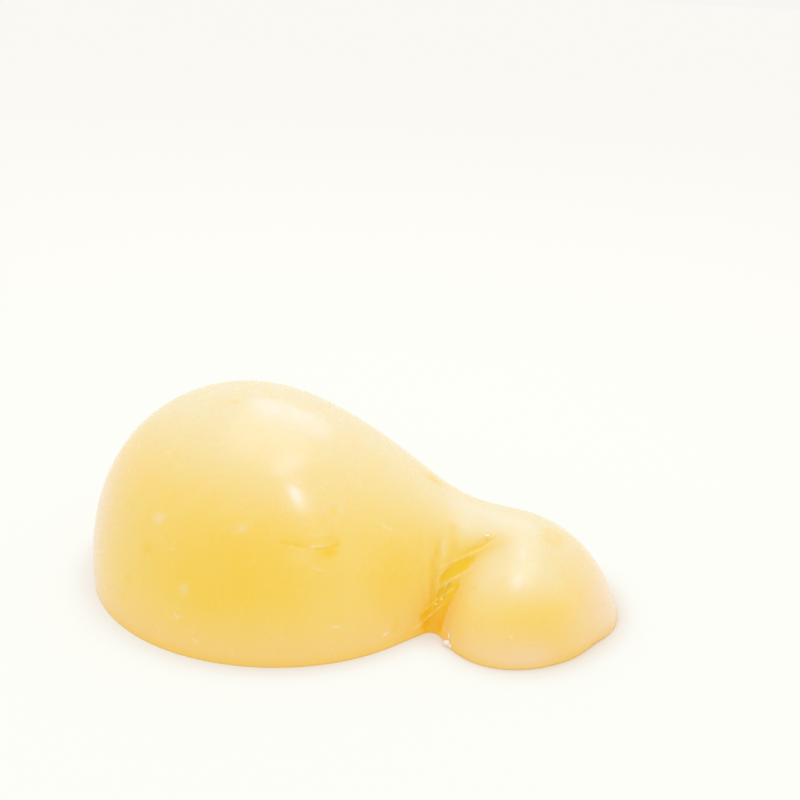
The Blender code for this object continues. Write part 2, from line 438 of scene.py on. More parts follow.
@dataclass(frozen=True)
class CreaseDetail:
    """The stretched curd in the crease: wedge-shaped hollows between thin pale strands, coloured deep partly
    by the rind and partly as painted shade.

    The hollows' outlines are lists of (height, across), as the strands' paths are.
    """

    strands: tuple[Strand, ...] = (
        Strand(((2.2, -12.5), (4.8, -6.4), (7.6, -2.2), (9.6, 0.2)), 0.42, 0.12),
        Strand(((6.8, -10.6), (9.4, -5.6), (12.9, -0.9), (15.5, 0.6)), 0.4, 0.14),
        Strand(((13.6, -7.6), (15.4, -4.4), (18.2, -1.6), (20.4, 0.6), (22.6, 1.6)), 0.4, 0.14),
        Strand(((20.4, -11.7), (22.6, -7.0), (25.2, -3.6), (28.2, -1.4), (33.5, -1.4)), 0.38, 0.12),
        Strand(((27.0, -5.6), (29.2, -3.7), (31.4, -2.7), (34.5, -2.9)), 0.35, 0.08),
        Strand(((16.6, -9.0), (19.6, -7.9), (22.4, -7.4)), 0.35, 0.08),
    )
    wedges: tuple[tuple[tuple[float, float], ...], ...] = (
        (
            (17.3, -7.8), (21.3, -6.9), (23.6, -4.6), (24.6, -1.4),
            (23.2, -0.4), (20.2, 0.0), (18.3, -1.8), (15.8, -6.1),
        ),
        ((25.7, -5.4), (28.6, -4.8), (30.7, -3.9), (31.4, -2.0), (28.0, -1.9)),
        (
            (7.1, -9.5), (13.1, -4.7), (16.7, -0.1), (15.7, 2.5),
            (11.9, 2.3), (6.8, 2.5), (1.5, 3.2), (-2.0, -5.2),
        ),
    )
    wedge_edge: float = 2.2
    wedge_share: float = 0.55
    hollow: float = 0.3
    middle: float = -4.5
    middle_shift: float = 0.3
    width_low: float = 8.5
    width_high: float = 5.0
    top: float = 38.0
    fade: float = 14.0
    foot_from: float = 11.0
    foot: float = 3.0

    def band(self, height: np.ndarray, across: np.ndarray) -> np.ndarray:
        """Gives how far into the deeply coloured band round the crease each point is.

        Args:
            height: millimetres above the cut face.
            across: the border value.

        Returns:
            A value from 0 outside the band to 1 in its middle.
        """
        share = np.clip(height / self.top, 0, 1)
        width = self.width_low + (self.width_high - self.width_low) * share
        middle = self.middle * (1 - self.middle_shift * share)
        return ridge((across - middle) / width, 1.0) * ease((self.top - height) / self.fade)

    def deep(self, height: np.ndarray, across: np.ndarray) -> np.ndarray:
        """Gives how far into a wedge-shaped hollow each point is, from 0 to 1."""
        flat = np.stack([height, across], axis=1)
        depths = [outline_depth(flat, corners) for corners in self.wedges]
        return ease(np.max(depths, axis=0) / self.wedge_edge + self.wedge_share)

    def lines(self, height: np.ndarray, across: np.ndarray, scaled: bool) -> np.ndarray:
        """Gives the strands' ridges.

        Args:
            height: millimetres above the cut face.
            across: the border value.
            scaled: whether each ridge is as high as its strand, in millimetres, or else 1.

        Returns:
            The highest ridge at each point.
        """
        flat = np.stack([height, across], axis=1)
        best = np.zeros(len(flat))
        for strand in self.strands:
            rise = strand.rise if scaled else 1.0
            best = np.maximum(best, rise * stroke(flat, strand.path, strand.width))
        return best


@dataclass(frozen=True)
class Spot:
    """A place where the rind's colour is deeper or paler: a soft spot, a soft ring or a firm patch."""

    centre: Point
    radius: float
    strength: float
    stretch: Point = (1.0, 1.0, 1.0)
    ring: float = 0.0
    edge: float = 0.0

    def weight(self, points: np.ndarray) -> np.ndarray:
        """Gives the spot's strength at each point."""
        away = np.linalg.norm((points - np.array(self.centre)) / np.array(self.stretch), axis=1)
        if self.edge:
            return self.strength * ease((self.radius - away) / self.edge)
        return self.strength * ridge(away - self.ring, self.radius)


@dataclass(frozen=True)
class Streak:
    """A soft stroke on the rind: how strong its colour is, and how far it stands up in millimetres."""

    path: tuple[Point, ...]
    width: float
    strength: float
    rise: float = 0.0

    def weight(self, points: np.ndarray) -> np.ndarray:
        """Gives the stroke's strength at each point."""
        return self.strength * stroke(points, self.path, self.width)

    def height(self, points: np.ndarray) -> np.ndarray:
        """Gives how far the stroke stands up at each point."""
        return self.rise * stroke(points, self.path, self.width)


@dataclass(frozen=True)
class Finer:
    """Where the mesh is halved once more: a band along the crease, and how near to each mark."""

    inner: float
    outer: float
    top: float
    dent: float
    leaf: float
    scratch: float


@dataclass(frozen=True)
class RindDetail:
    """Fine relief and marks on the rind, on top of the skin's own rule."""

    skin: Skin = Skin()
    crease: CreaseDetail = CreaseDetail()
    # Deeper golden patches on the flanks, front and back alike: partly the rind's own colour, partly
    # painted, standing for where the pale surroundings reflect least
    gold: tuple[Spot, ...] = (
        Spot((12.0, -60.0, 28.0), 30.0, 1.0, (1.35, 1.0, 0.8)),
        Spot((66.0, -34.0, 20.0), 20.0, 1.0, (1.0, 1.0, 0.9)),
        Spot((111.0, -26.0, 15.0), 13.0, 0.75, (1.2, 1.0, 0.8)),
        Spot((-20.0, 62.0, 26.0), 30.0, 0.9, (1.3, 1.0, 0.8)),
        Spot((52.0, 44.0, 20.0), 20.0, 0.7),
        Spot((120.0, 26.0, 15.0), 13.0, 0.6),
        Spot((-62.0, 8.0, 26.0), 20.0, 0.5, (1.0, 1.5, 0.8)),
    )
    amber: tuple[Spot | Streak, ...] = (
        Spot((39.5, -43.0, 35.7), 2.6, 1.0, (1.4, 1.3, 0.8)),
        Spot((38.7, -38.9, 39.4), 2.3, 0.45, (1.6, 1.2, 0.8)),
        # The two streaks along the dent's line are painted shade in its hollow
        Streak(
            ((20.8, -49.6, 40.9), (25.7, -48.3, 39.4), (30.4, -46.1, 38.4), (34.1, -44.3, 37.3)), 0.8, 0.8
        ),
        Streak(
            ((32.5, -45.4, 37.2), (36.5, -43.2, 36.4), (40.2, -40.4, 36.5), (42.6, -36.4, 38.4)), 1.0, 0.9
        ),
        Streak(((36.6, -28.4, 48.0), (36.9, -30.2, 46.8), (36.9, -32.0, 45.4)), 1.0, 0.3),
        Streak(((33.9, -34.0, 46.2), (34.5, -35.4, 44.8), (34.9, -37.0, 43.4)), 0.9, 0.2),
        Streak(
            ((74.2, -6.6, 30.3), (74.4, -10.2, 27.2), (74.0, -14.7, 23.2), (73.9, -18.4, 19.4)), 1.1, 0.45
        ),
        Streak(((77.6, 2.0, 34.5), (78.4, -3.5, 31.2), (80.2, -7.1, 28.1), (81.6, -10.8, 24.8)), 1.9, 0.4),
        Spot((-14.9, -2.6, 73.9), 1.8, 0.35),
        Spot((-27.5, -57.4, 32.7), 2.2, 0.5),
        Spot((-35.3, -60.2, 19.4), 2.0, 0.4),
        Spot((-36.7, -61.5, 12.3), 1.8, 0.3),
        Streak(((65.6, -36.0, 10.5), (65.7, -38.6, 7.0), (65.5, -41.4, 3.4)), 0.9, 0.45),
        Spot((92.2, -23.5, 20.1), 1.25, 0.4, (1.0, 1.0, 1.5)),
        Spot((93.8, -17.9, 23.7), 1.0, 0.4),
        Spot((64.4, 20.1, 42.6), 3.2, 0.6, (1.6, 1.0, 1.0)),
        Spot((118.3, 5.2, 32.9), 1.7, 0.3, (1.25, 1.5, 1.0), 2.6),
    )
    pale: tuple[Spot | Streak, ...] = (
        Spot((91.0, 6.5, 36.0), 11.0, 0.12, (1.0, 1.7, 1.3), 0.0, 3.5),
        Spot((29.5, -49.0, 34.5), 3.5, 0.1, (1.6, 1.0, 0.8)),
        Spot((-25.7, -51.3, 42.7), 2.2, 0.45),
        Spot((7.7, -51.1, 44.1), 1.7, 0.35),
        Spot((-9.3, -66.2, 23.2), 1.7, 0.35),
        Streak(((-11.9, -69.5, 14.8), (-10.9, -69.9, 13.8), (-9.4, -70.3, 13.3)), 0.4, 0.7),
        Streak(((-3.4, -72.3, 8.1), (-2.6, -72.7, 6.9), (-0.5, -73.0, 6.0)), 0.35, 0.6),
        Streak(((28.2, -66.8, 10.6), (30.2, -66.4, 9.9), (31.4, -66.1, 8.9)), 0.35, 0.6),
        Streak(((61.8, -44.9, 4.8), (63.9, -42.2, 5.8)), 0.4, 0.8),
        Streak(((34.2, -49.7, 32.1), (36.9, -48.9, 31.2), (39.9, -47.8, 29.8)), 0.45, 0.3),
        Streak(((45.2, -56.3, 12.3), (48.8, -54.1, 12.2)), 0.4, 0.6),
        # Partly a raised lip above the dent, partly a painted highlight along it
        Streak(
            (
                (27.9, -47.4, 39.1), (30.0, -46.4, 38.7), (33.2, -45.0, 37.9),
                (36.0, -43.1, 37.7), (39.0, -40.4, 37.9),
            ), 0.42, 0.8, 0.1
        ),
        Streak(
            (
                (30.8, -43.8, 40.8), (35.4, -40.0, 40.8), (39.9, -36.6, 40.2), (42.4, -37.0, 37.9)
            ), 0.5, 0.2, 0.02
        ),
        Streak(
            (
                (33.2, -37.0, 44.4), (33.4, -33.0, 47.0), (33.9, -30.4, 48.4),
                (36.6, -26.6, 48.9), (40.5, -21.5, 48.5),
            ), 0.55, 0.18, 0.02
        ),
        Streak(((38.5, -24.1, 48.7), (38.9, -27.2, 46.7), (39.5, -30.2, 44.6)), 1.5, 0.2),
        Streak(((52.6, -20.2, 39.2), (54.6, -19.6, 37.9), (57.8, -18.2, 35.4)), 0.4, 0.5),
        Streak(((75.3, -6.6, 29.6), (76.5, -9.4, 27.0), (77.9, -12.0, 24.0)), 0.9, 0.18),
    )
    # Painted sheen: pale peach spots where the rind turns away, at the left flank, the head's end, the back
    # and the head's near foot, standing in for the white surroundings reflected there
    blush: tuple[Spot, ...] = (
        Spot((-75.0, -22.0, 22.0), 27.0, 1.0, (1.0, 1.4, 1.4)),
        Spot((146.0, 4.0, 14.0), 17.0, 0.85, (1.0, 1.5, 1.2)),
        Spot((-40.0, 62.0, 14.0), 26.0, 0.5),
        Spot((118.0, -42.0, 2.0), 8.0, 0.5, (3.0, 1.0, 1.0)),
    )
    rings: Spot = Spot((24.0, -37.0, 50.0), 11.0, 1.0)
    matt: Spot = Spot((88.0, -3.0, 34.5), 13.0, 1.0, (1.2, 1.7, 1.2))
    leaf: tuple[Point, ...] = ((33.5, -36.0, 44.9), (33.9, -30.4, 48.4), (39.3, -23.3, 48.5))
    deepest_fold: float = 0.9
    wedge_matt: float = 0.4
    near_least: float = 0.1
    waist_from: float = 60.0
    finer: tuple[Finer, ...] = (
        Finer(-30.0, 12.0, 100.0, 8.0, 5.0, 4.5),
        Finer(-14.0, 6.0, 38.0, 4.5, 2.5, 2.2),
    )

    def relief(self, points: np.ndarray) -> np.ndarray:
        """Gives how far each point of the skin is pushed in, in millimetres, or raised where negative."""
        height = points[:, 2]
        across = self.skin.border(points)
        near = self.skin.tie.near(points)
        deep = self.crease.deep(height, across) * near
        strands = self.crease.lines(height, across, True) * near
        raised = sum(mark.height(points) for mark in self.pale if isinstance(mark, Streak))
        return (self.crease.hollow * deep - strands - raised) * ease(height / self.crease.foot)

    def fineness(self, points: np.ndarray) -> np.ndarray:
        """Gives how many times the mesh is halved at each point."""
        across = self.skin.border(points)
        near = (self.skin.tie.near(points) > self.near_least) & (points[:, 0] > self.waist_from)
        dent = self.skin.dent.distance(points)
        scratch = self.scratch_distance(points)
        leaf, _ = path_measure(points, self.leaf)
        level = np.zeros(len(points), int)
        for step, finer in enumerate(self.finer, start=1):
            crease = near & (across > finer.inner) & (across < finer.outer) & (points[:, 2] < finer.top)
            marked = (dent < finer.dent) | (leaf < finer.leaf) | (scratch < finer.scratch)
            level[crease | marked] = step
        return level

    def scratch_distance(self, points: np.ndarray) -> np.ndarray:
        """Measures how far each point lies from the nearest of the pale strokes."""
        strokes = [mark.path for mark in self.pale if isinstance(mark, Streak)]
        return np.min([path_measure(points, path)[0] for path in strokes], axis=0)

    def marks(self, points: np.ndarray) -> dict[Mark, np.ndarray]:
        """Works out the attributes that the finishes read.

        Args:
            points: one point of the finished mesh in each row.

        Returns:
            One value for each point, by mark.
        """
        height = points[:, 2]
        across = self.skin.border(points)
        near = self.skin.tie.near(points)
        deep = self.crease.deep(height, across) * near
        lit = ease(height / self.crease.foot)
        return {
            # The crease's band, wedges and foot deepen the colour: partly the rind's own colour, partly
            # painted shade and bounce light in the hollows
            Mark.CREASE: self.crease.band(height, across) * near,
            Mark.WEDGE: deep,
            Mark.FOOT: deep * ease(1 - height / self.crease.foot_from),
            Mark.STRAND: self.crease.lines(height, across, False) * near * lit,
            # The pleats' depth, which the colour also uses for painted shade in the folds
            Mark.FOLD: np.clip(self.skin.tie.pleats(points, across) / self.deepest_fold, 0, 1),
            Mark.GOLD: self.strongest(self.gold, points),
            Mark.AMBER: self.strongest(self.amber, points),
            Mark.PALE: self.strongest(self.pale, points),
            Mark.BLUSH: self.strongest(self.blush, points),
            Mark.RINGS: self.rings.weight(points),
            Mark.MATT: np.maximum(self.wedge_matt * deep, self.matt.weight(points)),
            Mark.DEPTH: np.maximum(-self.skin.clearance(points), 0),
        }

    @staticmethod
    def strongest(marks: Sequence[Spot | Streak], points: np.ndarray) -> np.ndarray:
        """Gives the strength of the strongest mark at each point."""
        return np.max([mark.weight(points) for mark in marks], axis=0)


@dataclass(frozen=True)
class Eye:
    """One eye in the paste: its place on the cut face, radius and stretch."""

    place: tuple[float, float]
    radius: float
    stretch: float = 1.0
    rings: int = 2


@dataclass(frozen=True)
class Eyes:
    """The eyes that open in the cut face."""

    large: tuple[Eye, ...] = (
        Eye((-29.0, 24.0), 3.4, 1.5, 3),
        Eye((13.0, -19.0), 2.3, 1.0, 3),
        Eye((44.0, -33.0), 2.2, 2.6, 3),
        Eye((-8.0, 47.0), 2.0, 1.0, 3),
    )
    small_count: int = 12
    small_radii: tuple[float, float] = (1.1, 1.9)
    tiny_count: int = 60
    tiny_radii: tuple[float, float] = (0.3, 0.85)
    field_middle: tuple[float, float] = (6.0, 2.0)
    field_radius: float = 58.0
    clear_of_middle: float = 12.0
    gap: float = 3.0
    tiny_gap: float = 0.8
    sink: float = 0.35
    turn: float = radians(47)
    seed: int = 11
    tiny_seed: int = 5

    def draw_place(self, draw: Random) -> tuple[float, float]:
        """Draws a place in the round field of the paste."""
        reach = self.field_radius * draw.random() ** 0.5
        angle = 2 * pi * draw.random()
        return self.field_middle[0] + reach * cos(angle), self.field_middle[1] + reach * sin(angle)

    def spread(self) -> list[Eye]:
        """Places all the eyes: the large ones as named, the others by seeded draws, clear of each other."""
        eyes = list(self.large)
        draw = Random(self.seed)
        while len(eyes) < len(self.large) + self.small_count:
            place = self.draw_place(draw)
            radius = draw.uniform(*self.small_radii)
            away = (Vector(place) - Vector(FOOTPRINT_MIDDLE)).length
            if away > self.clear_of_middle and self.room(place, eyes) > self.gap + radius:
                eyes.append(Eye(place, radius))
        draw = Random(self.tiny_seed)
        wanted = len(eyes) + self.tiny_count
        while len(eyes) < wanted:
            place = self.draw_place(draw)
            radius = draw.uniform(*self.tiny_radii)
            if self.room(place, eyes) > self.tiny_gap + radius:
                eyes.append(Eye(place, radius, draw.choice((1.0, 1.0, 1.6)), 1))
        return eyes

    def room(self, place: tuple[float, float], eyes: Iterable[Eye]) -> float:
        """Measures the space from a place to the nearest eye's edge."""
        return min((Vector(place) - Vector(eye.place)).length - eye.radius * eye.stretch for eye in eyes)

    def cutters(self) -> bmesh.types.BMesh:
        """Makes one small ellipsoid for each eye, sunk so that each eye is a shallow bowl."""
        mesh = bmesh.new()
        for index, eye in enumerate(self.spread()):
            sunk = Matrix.Translation((*eye.place, -self.sink * eye.radius))
            turned = Matrix.Rotation(self.turn * index, 4, "Z") @ Matrix.Diagonal((eye.stretch, 1, 1, 1))
            bmesh.ops.create_icosphere(
                mesh, subdivisions=eye.rings, radius=eye.radius, matrix=sunk @ turned
            )
        for face in mesh.faces:
            face.material_index = Surface.EYE.value
            face.smooth = True
        return mesh


@dataclass(frozen=True)
class Mottle:
    """Soft patches: their width in millimetres, their finer layers, and the range they are mapped to."""

    size: float
    detail: float
    roughness: float
    low: float
    high: float
    start: float = 0.0
    end: float = 1.0


@dataclass(frozen=True)
class Relief:
    """Relief that only the shading shows: its height and width in millimetres, and its finer layers."""

    height: float
    size: float
    detail: float
    roughness: float
    stretch: Point = (1, 1, 1)


class Recipe:
    """A material under construction, with short calls to add and join its nodes."""

    def __init__(self, name: str) -> None:
        """Starts a material with an empty Principled shader."""
        self.material = bpy.data.materials.new(name)
        self.material.use_nodes = True
        self.tree = self.material.node_tree
        self.where = self.add("ShaderNodeTexCoord").outputs["Object"]

    def add(self, kind: str, inputs: dict | None = None, **settings: object) -> bpy.types.Node:
        """Adds a node.

        Args:
            kind: the node's type.
            inputs: what its sockets are fed, by name or number.
            settings: its properties.

        Returns:
            The node.
        """
        node = self.tree.nodes.new(kind)
        for key, value in settings.items():
            setattr(node, key, value)
        self.feed(node, inputs or {})
        return node

    def feed(self, node: bpy.types.Node, inputs: dict) -> None:
        """Joins a node's sockets to outputs, or sets them to numbers or colours."""
        for key, value in inputs.items():
            socket = node.inputs[key]
            if isinstance(value, bpy.types.NodeSocket):
                self.tree.links.new(value, socket)
            elif isinstance(value, tuple) and len(value) == 3 and len(socket.default_value) == 4:
                socket.default_value = (*value, 1.0)
            else:
                socket.default_value = value

    def dressed(self, inputs: dict[str, object]) -> bpy.types.Material:
        """Feeds the shader's sockets and gives the finished material."""
        self.feed(self.tree.nodes["Principled BSDF"], inputs)
        return self.material

    def mark(self, mark: Mark) -> bpy.types.NodeSocket:
        """Reads one of the piece's vertex attributes."""
        return self.add("ShaderNodeAttribute", attribute_name=mark.value).outputs["Fac"]

    def math(self, operation: str, *values: object) -> bpy.types.NodeSocket:
        """Adds a Math node that works on up to three values."""
        return self.add("ShaderNodeMath", dict(enumerate(values)), operation=operation).outputs[0]

    def times(self, first: object, second: object) -> bpy.types.NodeSocket:
        """Multiplies two values."""
        return self.math("MULTIPLY", first, second)

    def ramp(
        self, value: object, low: float, high: float, start: float = 0.0, end: float = 1.0
    ) -> bpy.types.NodeSocket:
        """Maps a range softly onto another.

        Args:
            value: the output or number to map.
            low: the value that gives the start.
            high: the value that gives the end.
            start: what is given at or before low.
            end: what is given at or past high.

        Returns:
            The mapped value's output.
        """
        names = ("Value", "From Min", "From Max", "To Min", "To Max")
        inputs = dict(zip(names, (value, low, high, start, end)))
        return self.add("ShaderNodeMapRange", inputs, interpolation_type="SMOOTHSTEP").outputs["Result"]

    def below(self, height: object, band: Point) -> bpy.types.NodeSocket:
        """Fades in from one height to a lower one, in millimetres, up to a strength."""
        return self.ramp(height, band[0] * MM, band[1] * MM, 0.0, band[2])

    def noise(
        self, size: float, detail: float = 3.0, roughness: float = 0.5, stretch: Point = (1, 1, 1)
    ) -> bpy.types.NodeSocket:
        """Adds noise on the piece's own coordinates.

        Args:
            size: how wide a patch of it is, in millimetres.
            detail: how many finer layers it has.
            roughness: how strong those layers are.
            stretch: how much longer the patches are along each axis.

        Returns:
            The noise's value output.
        """
        inputs = {"Vector": self.where, "Scale": stretch}
        place = self.add("ShaderNodeMapping", inputs, vector_type="TEXTURE").outputs["Vector"]
        inputs = {"Vector": place, "Scale": 1 / (size * MM), "Detail": detail, "Roughness": roughness}
        return self.add("ShaderNodeTexNoise", inputs).outputs["Fac"]

    def patches(self, mottle: Mottle) -> bpy.types.NodeSocket:
        """Adds soft patches."""
        noise = self.noise(mottle.size, mottle.detail, mottle.roughness)
        return self.ramp(noise, mottle.low, mottle.high, mottle.start, mottle.end)

    def flecks(self, spacing: float, radius: float, share: float) -> bpy.types.NodeSocket:
        """Scatters small round flecks.

        Args:
            spacing: the mean distance between places where one could be, in millimetres.
            radius: a fleck's radius in millimetres.
            share: how many of the places have one.

        Returns:
            An output that is 1 in a fleck and 0 outside.
        """
        cells = self.add("ShaderNodeTexVoronoi", {"Vector": self.where, "Scale": 1 / (spacing * MM)})
        near = self.ramp(cells.outputs["Distance"], radius / spacing * 0.5, radius / spacing, 1.0, 0.0)
        apart = self.add("ShaderNodeSeparateColor", {"Color": cells.outputs["Color"]})
        return self.times(near, self.math("LESS_THAN", apart.outputs["Red"], share))

    def tint(self, base: object, *layers: tuple[object, object]) -> bpy.types.NodeSocket:
        """Mixes colours over another.

        Args:
            base: the colour underneath.
            layers: each colour to mix in, with its share from 0 to 1.

        Returns:
            The mixed colour's output.
        """
        for colour, share in layers:
            node = self.add("ShaderNodeMix", {"Factor": share}, data_type="RGBA")
            self.feed(node, {6: base, 7: colour})
            base = node.outputs[2]
        return base

    def ripples(self, centre: Point, spacing: float) -> bpy.types.NodeSocket:
        """Adds rings round a place.

        Args:
            centre: the place, in millimetres about the ball's middle.
            spacing: the distance from ring to ring in millimetres.

        Returns:
            The rings' height output, from 0 to 1.
        """
        place = self.add("ShaderNodeVectorMath", {0: self.where, 1: in_frame(centre)}, operation="SUBTRACT")
        inputs = {
            "Vector": place.outputs["Vector"], "Scale": pi / 10 / (spacing * MM),
            "Distortion": 4.0, "Detail": 1.0, "Detail Scale": 0.7,
        }
        rings = self.add("ShaderNodeTexWave", inputs, wave_type="RINGS", rings_direction="SPHERICAL")
        return rings.outputs["Fac"]

    def bump(
        self, height: object, distance: float, under: bpy.types.NodeSocket | None = None
    ) -> bpy.types.NodeSocket:
        """Turns a height into a bumped normal.

        Args:
            height: the height's output, from 0 to 1.
            distance: how high 1 is, in millimetres.
            under: a bumped normal to add it to.

        Returns:
            The normal's output.
        """
        inputs = {"Distance": distance * MM, "Height": height}
        if under is not None:
            inputs["Normal"] = under
        return self.add("ShaderNodeBump", inputs).outputs["Normal"]

    def raised(self, *reliefs: Relief) -> bpy.types.NodeSocket:
        """Adds layers of fine relief, one over the other, and gives the bumped normal."""
        normal = None
        for relief in reliefs:
            noise = self.noise(relief.size, relief.detail, relief.roughness, relief.stretch)
            normal = self.bump(noise, relief.height, normal)
        return normal


@dataclass(frozen=True)
class WaxyRind:
    """The smooth waxy rind: pale with deeper golden patches on its flanks, whitened on top and at the rims
    by painted sheen, and deep orange in the crease, partly its own colour and partly painted shade.

    A band is the height where a colour starts, the height where it is strongest, and its strength. Flecks
    have a spacing, a radius and the share of places that have one. Heights and lengths are in millimetres.
    """

    golden: Colour = (0.97, 0.645, 0.06)
    pale: Colour = (0.955, 0.71, 0.205)
    pale_and_painted_sheen: Colour = (0.875, 0.815, 0.63)
    peach: Colour = (0.97, 0.65, 0.22)
    blush: Colour = (0.96, 0.75, 0.58)
    amber: Colour = (0.955, 0.61, 0.02)
    # The deep and orange colours of the crease's hollows carry painted shade as well as the rind's colour
    deep: Colour = (0.97, 0.62, 0.006)
    orange_and_foot_shade: Colour = (0.93, 0.46, 0.004)
    fibre: Colour = (1.0, 0.79, 0.32)
    fleck: Colour = (0.96, 0.90, 0.74)
    speck: Colour = (0.45, 0.26, 0.03)
    edge: Colour = (0.88, 0.52, 0.12)
    # Painted sheen: the direction, and the range of facing, over which the pale colour whitens the top
    painted_sheen_side: Point = (-0.03, 0.15, 0.99)
    painted_sheen_reach: tuple[float, ...] = (0.5, 1.0, 0.0, 0.71)
    fold_shade_share: float = 0.22
    crease_shade_share: float = 0.6
    peach_band: Point = (22.0, 0.0, 0.75)
    foot_band: Point = (4.5, 0.5, 0.35)
    edge_band: Point = (0.9, 0.2, 0.6)
    clouds: Mottle = Mottle(24, 3, 0.5, 0.35, 0.7, 0.0, 0.3)
    gilding: Mottle = Mottle(7, 3, 0.6, 0.45, 0.8, 0.0, 0.25)
    painted_sheen_patches: Mottle = Mottle(12, 4, 0.6, 0.25, 0.6, 0.8, 1.0)
    grain: Mottle = Mottle(0.7, 2, 0.6, 0.36, 0.56, 0.7, 1.0)
    fraying: Mottle = Mottle(2.2, 2, 0.5, 0.38, 0.58, 0.25, 0.8)
    fleck_field: Mottle = Mottle(30, 2, 0.5, 0.45, 0.6, 0.0, 0.45)
    flecks: Point = (4.5, 0.5, 0.45)
    specks: Point = (34.0, 0.28, 0.3)
    speck_share: float = 0.6
    polish: Mottle = Mottle(8, 4, 0.6, 0.3, 0.7, 0.18, 0.3)
    matt_roughness: float = 0.4
    lumps: Relief = Relief(0.12, 14, 2, 0.4)
    pebbles: Relief = Relief(0.025, 1.2, 2, 0.5)
    scratches: Relief = Relief(0.012, 1.3, 3, 0.6, (6, 1, 3))
    ring_spacing: float = 1.7
    ring_centre: Point = (21.4, -39.1, 49.7)
    ring_height: float = 0.02

    def colour(self, recipe: Recipe) -> bpy.types.NodeSocket:
        """Builds the colour.

        Args:
            recipe: the material under construction.

        Returns:
            The colour's output.
        """
        height = recipe.add("ShaderNodeSeparateXYZ", {"Vector": recipe.where}).outputs["Z"]
        # Painted sheen: faces that turn up towards the overhead light are whitened, standing in for the
        # reflection there
        normal = recipe.add("ShaderNodeNewGeometry").outputs["Normal"]
        facing = recipe.add("ShaderNodeVectorMath", {0: normal, 1: self.painted_sheen_side}, operation="DOT_PRODUCT")
        top = recipe.ramp(facing.outputs["Value"], *self.painted_sheen_reach)
        return recipe.tint(
            self.pale,
            # Golden patches: partly the rind's colour, partly painted where least sheen falls
            (self.golden, recipe.mark(Mark.GOLD)),
            (self.pale, recipe.patches(self.clouds)),
            (self.golden, recipe.patches(self.gilding)),
            (self.peach, recipe.below(height, self.peach_band)),
            (self.pale_and_painted_sheen, recipe.times(top, recipe.patches(self.painted_sheen_patches))),
            # Painted sheen at the rims, where the rind turns away
            (self.blush, recipe.mark(Mark.BLUSH)),
            # Painted shade: amber deepens in the pleats' folds, by how deep each fold is
            (self.amber, recipe.times(recipe.mark(Mark.FOLD), self.fold_shade_share)),
            # Painted shade round the crease, over the rind's deeper colour there
            (self.amber, recipe.times(recipe.mark(Mark.CREASE), self.crease_shade_share)),
            # Pale marks: real flecks and scratches, and a painted highlight along the dent's lip
            (self.pale_and_painted_sheen, recipe.mark(Mark.PALE)),
            # Amber marks: real spots, and painted shade along the dent
            (self.amber, recipe.mark(Mark.AMBER)),
            # Deep orange in the wedge-shaped hollows, and deeper orange at their foot: partly the rind's
            # colour, partly painted shade and bounce light
            (self.deep, recipe.times(recipe.mark(Mark.WEDGE), recipe.patches(self.grain))),
            (self.orange_and_foot_shade, recipe.mark(Mark.FOOT)),
            (self.fibre, recipe.times(recipe.mark(Mark.STRAND), recipe.patches(self.fraying))),
            (self.fleck, recipe.times(recipe.flecks(*self.flecks), recipe.patches(self.fleck_field))),
            (self.speck, recipe.times(recipe.flecks(*self.specks), self.speck_share)),
            (self.amber, recipe.below(height, self.foot_band)),
            (self.edge, recipe.below(height, self.edge_band)),
        )

    def material(self) -> bpy.types.Material:
        """Makes the material."""
        recipe = Recipe("waxy_rind")
        matt = recipe.mark(Mark.MATT)
        rings = recipe.times(recipe.ripples(self.ring_centre, self.ring_spacing), recipe.mark(Mark.RINGS))
        relief = recipe.raised(self.lumps, self.pebbles, self.scratches)
        return recipe.dressed({
            "Base Color": self.colour(recipe),
            "Roughness": recipe.math("MULTIPLY_ADD", matt, self.matt_roughness, recipe.patches(self.polish)),
            "Normal": recipe.bump(rings, self.ring_height, relief),
            "Specular Tint": (0.85, 0.74, 1.0),
            "Specular IOR Level": 0.32,
            "Sheen Weight": 0.1,
            "Sheen Roughness": 0.4,
            "Sheen Tint": (1.0, 0.97, 0.90),
            "Subsurface Weight": 0.2,
            "Subsurface Radius": (1.0, 0.55, 0.18),
            "Subsurface Scale": 0.004,
            "Coat Weight": 0.1,
            "Coat Roughness": 0.17,
        })


@dataclass(frozen=True)
class CutPaste:
    """The cut paste: pale yellow in the middle, deeper under the rind, with a thin pale line at its edge."""

    heart: Colour = (0.93, 0.76, 0.28)
    cloud: Colour = (0.94, 0.80, 0.36)
    under_rind: Colour = (0.91, 0.68, 0.05)
    edge: Colour = (0.95, 0.84, 0.50)
    clouds: Mottle = Mottle(12, 4, 0.6, 0.35, 0.7)
    band: tuple[float, ...] = (13.0, 1.5, 0.0, 0.9)
    edge_band: tuple[float, ...] = (0.7, 0.35)
    polish: Mottle = Mottle(6, 3, 0.5, 0.3, 0.7, 0.42, 0.55)
    knife_lines: Relief = Relief(0.02, 1.2, 3, 0.6, (30, 1, 1))
    curd: Relief = Relief(0.03, 0.9, 3, 0.6)

    def material(self) -> bpy.types.Material:
        """Makes the material."""
        recipe = Recipe("cut_paste")
        depth = recipe.mark(Mark.DEPTH)
        colour = recipe.tint(
            self.heart,
            (self.cloud, recipe.patches(self.clouds)),
            (self.under_rind, recipe.ramp(depth, *self.band)),
            (self.edge, recipe.ramp(depth, *self.edge_band)),
        )
        return recipe.dressed({
            "Base Color": colour,
            "Roughness": recipe.patches(self.polish),
            "Normal": recipe.raised(self.knife_lines, self.curd),
            "Subsurface Weight": 0.25,
            "Subsurface Radius": (1.0, 0.6, 0.25),
            "Subsurface Scale": 0.004,
        })


